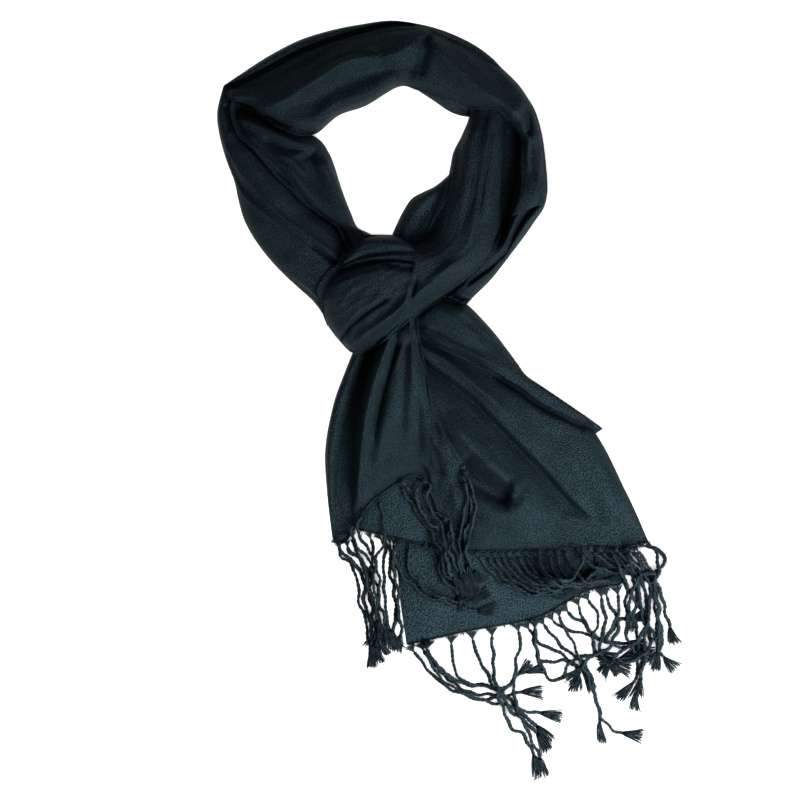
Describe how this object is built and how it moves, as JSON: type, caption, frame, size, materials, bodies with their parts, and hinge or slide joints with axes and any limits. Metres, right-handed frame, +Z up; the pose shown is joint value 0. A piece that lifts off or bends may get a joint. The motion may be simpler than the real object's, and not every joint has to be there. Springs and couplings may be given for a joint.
{
  "type": "stole",
  "caption": "Fringed woven stole, doubled and pulled through its own loop, laid flat with its ends spread below the knot.",
  "frame": {"origin": "centre of the outline on the flat surface the stole lies on, at its underside", "axes": "+Y from the fringe towards the back of the neck loop, +X to the right of the picture, +Z up away from the surface"},
  "size_m": [0.3657, 0.602, 0.0484],
  "materials": {
    "cloth": "soft matt twill, near black with a cold cast",
    "cloth_under": "soft matt twill, lying in shade",
    "fringe": "twisted yarn tassels with frayed ends"
  },
  "bodies": {
    "root": {"knot_collar": "cloth", "knot_wrap": "cloth", "neck_back": "cloth", "neck_left": "cloth", "neck_left_outer": "cloth", "neck_right_outer": "cloth", "tail_left": "cloth", "tail_right": "cloth", "tail_right_edge": "cloth", "neck_back_under": "cloth_under", "neck_right_under": "cloth_under", "tail_left_under": "cloth_under", "under_panel": "cloth_under", "fringe_left": "fringe", "fringe_right": "fringe", "fringe_second": "fringe", "fringe_under": "fringe"}
  },
  "joints": []
}
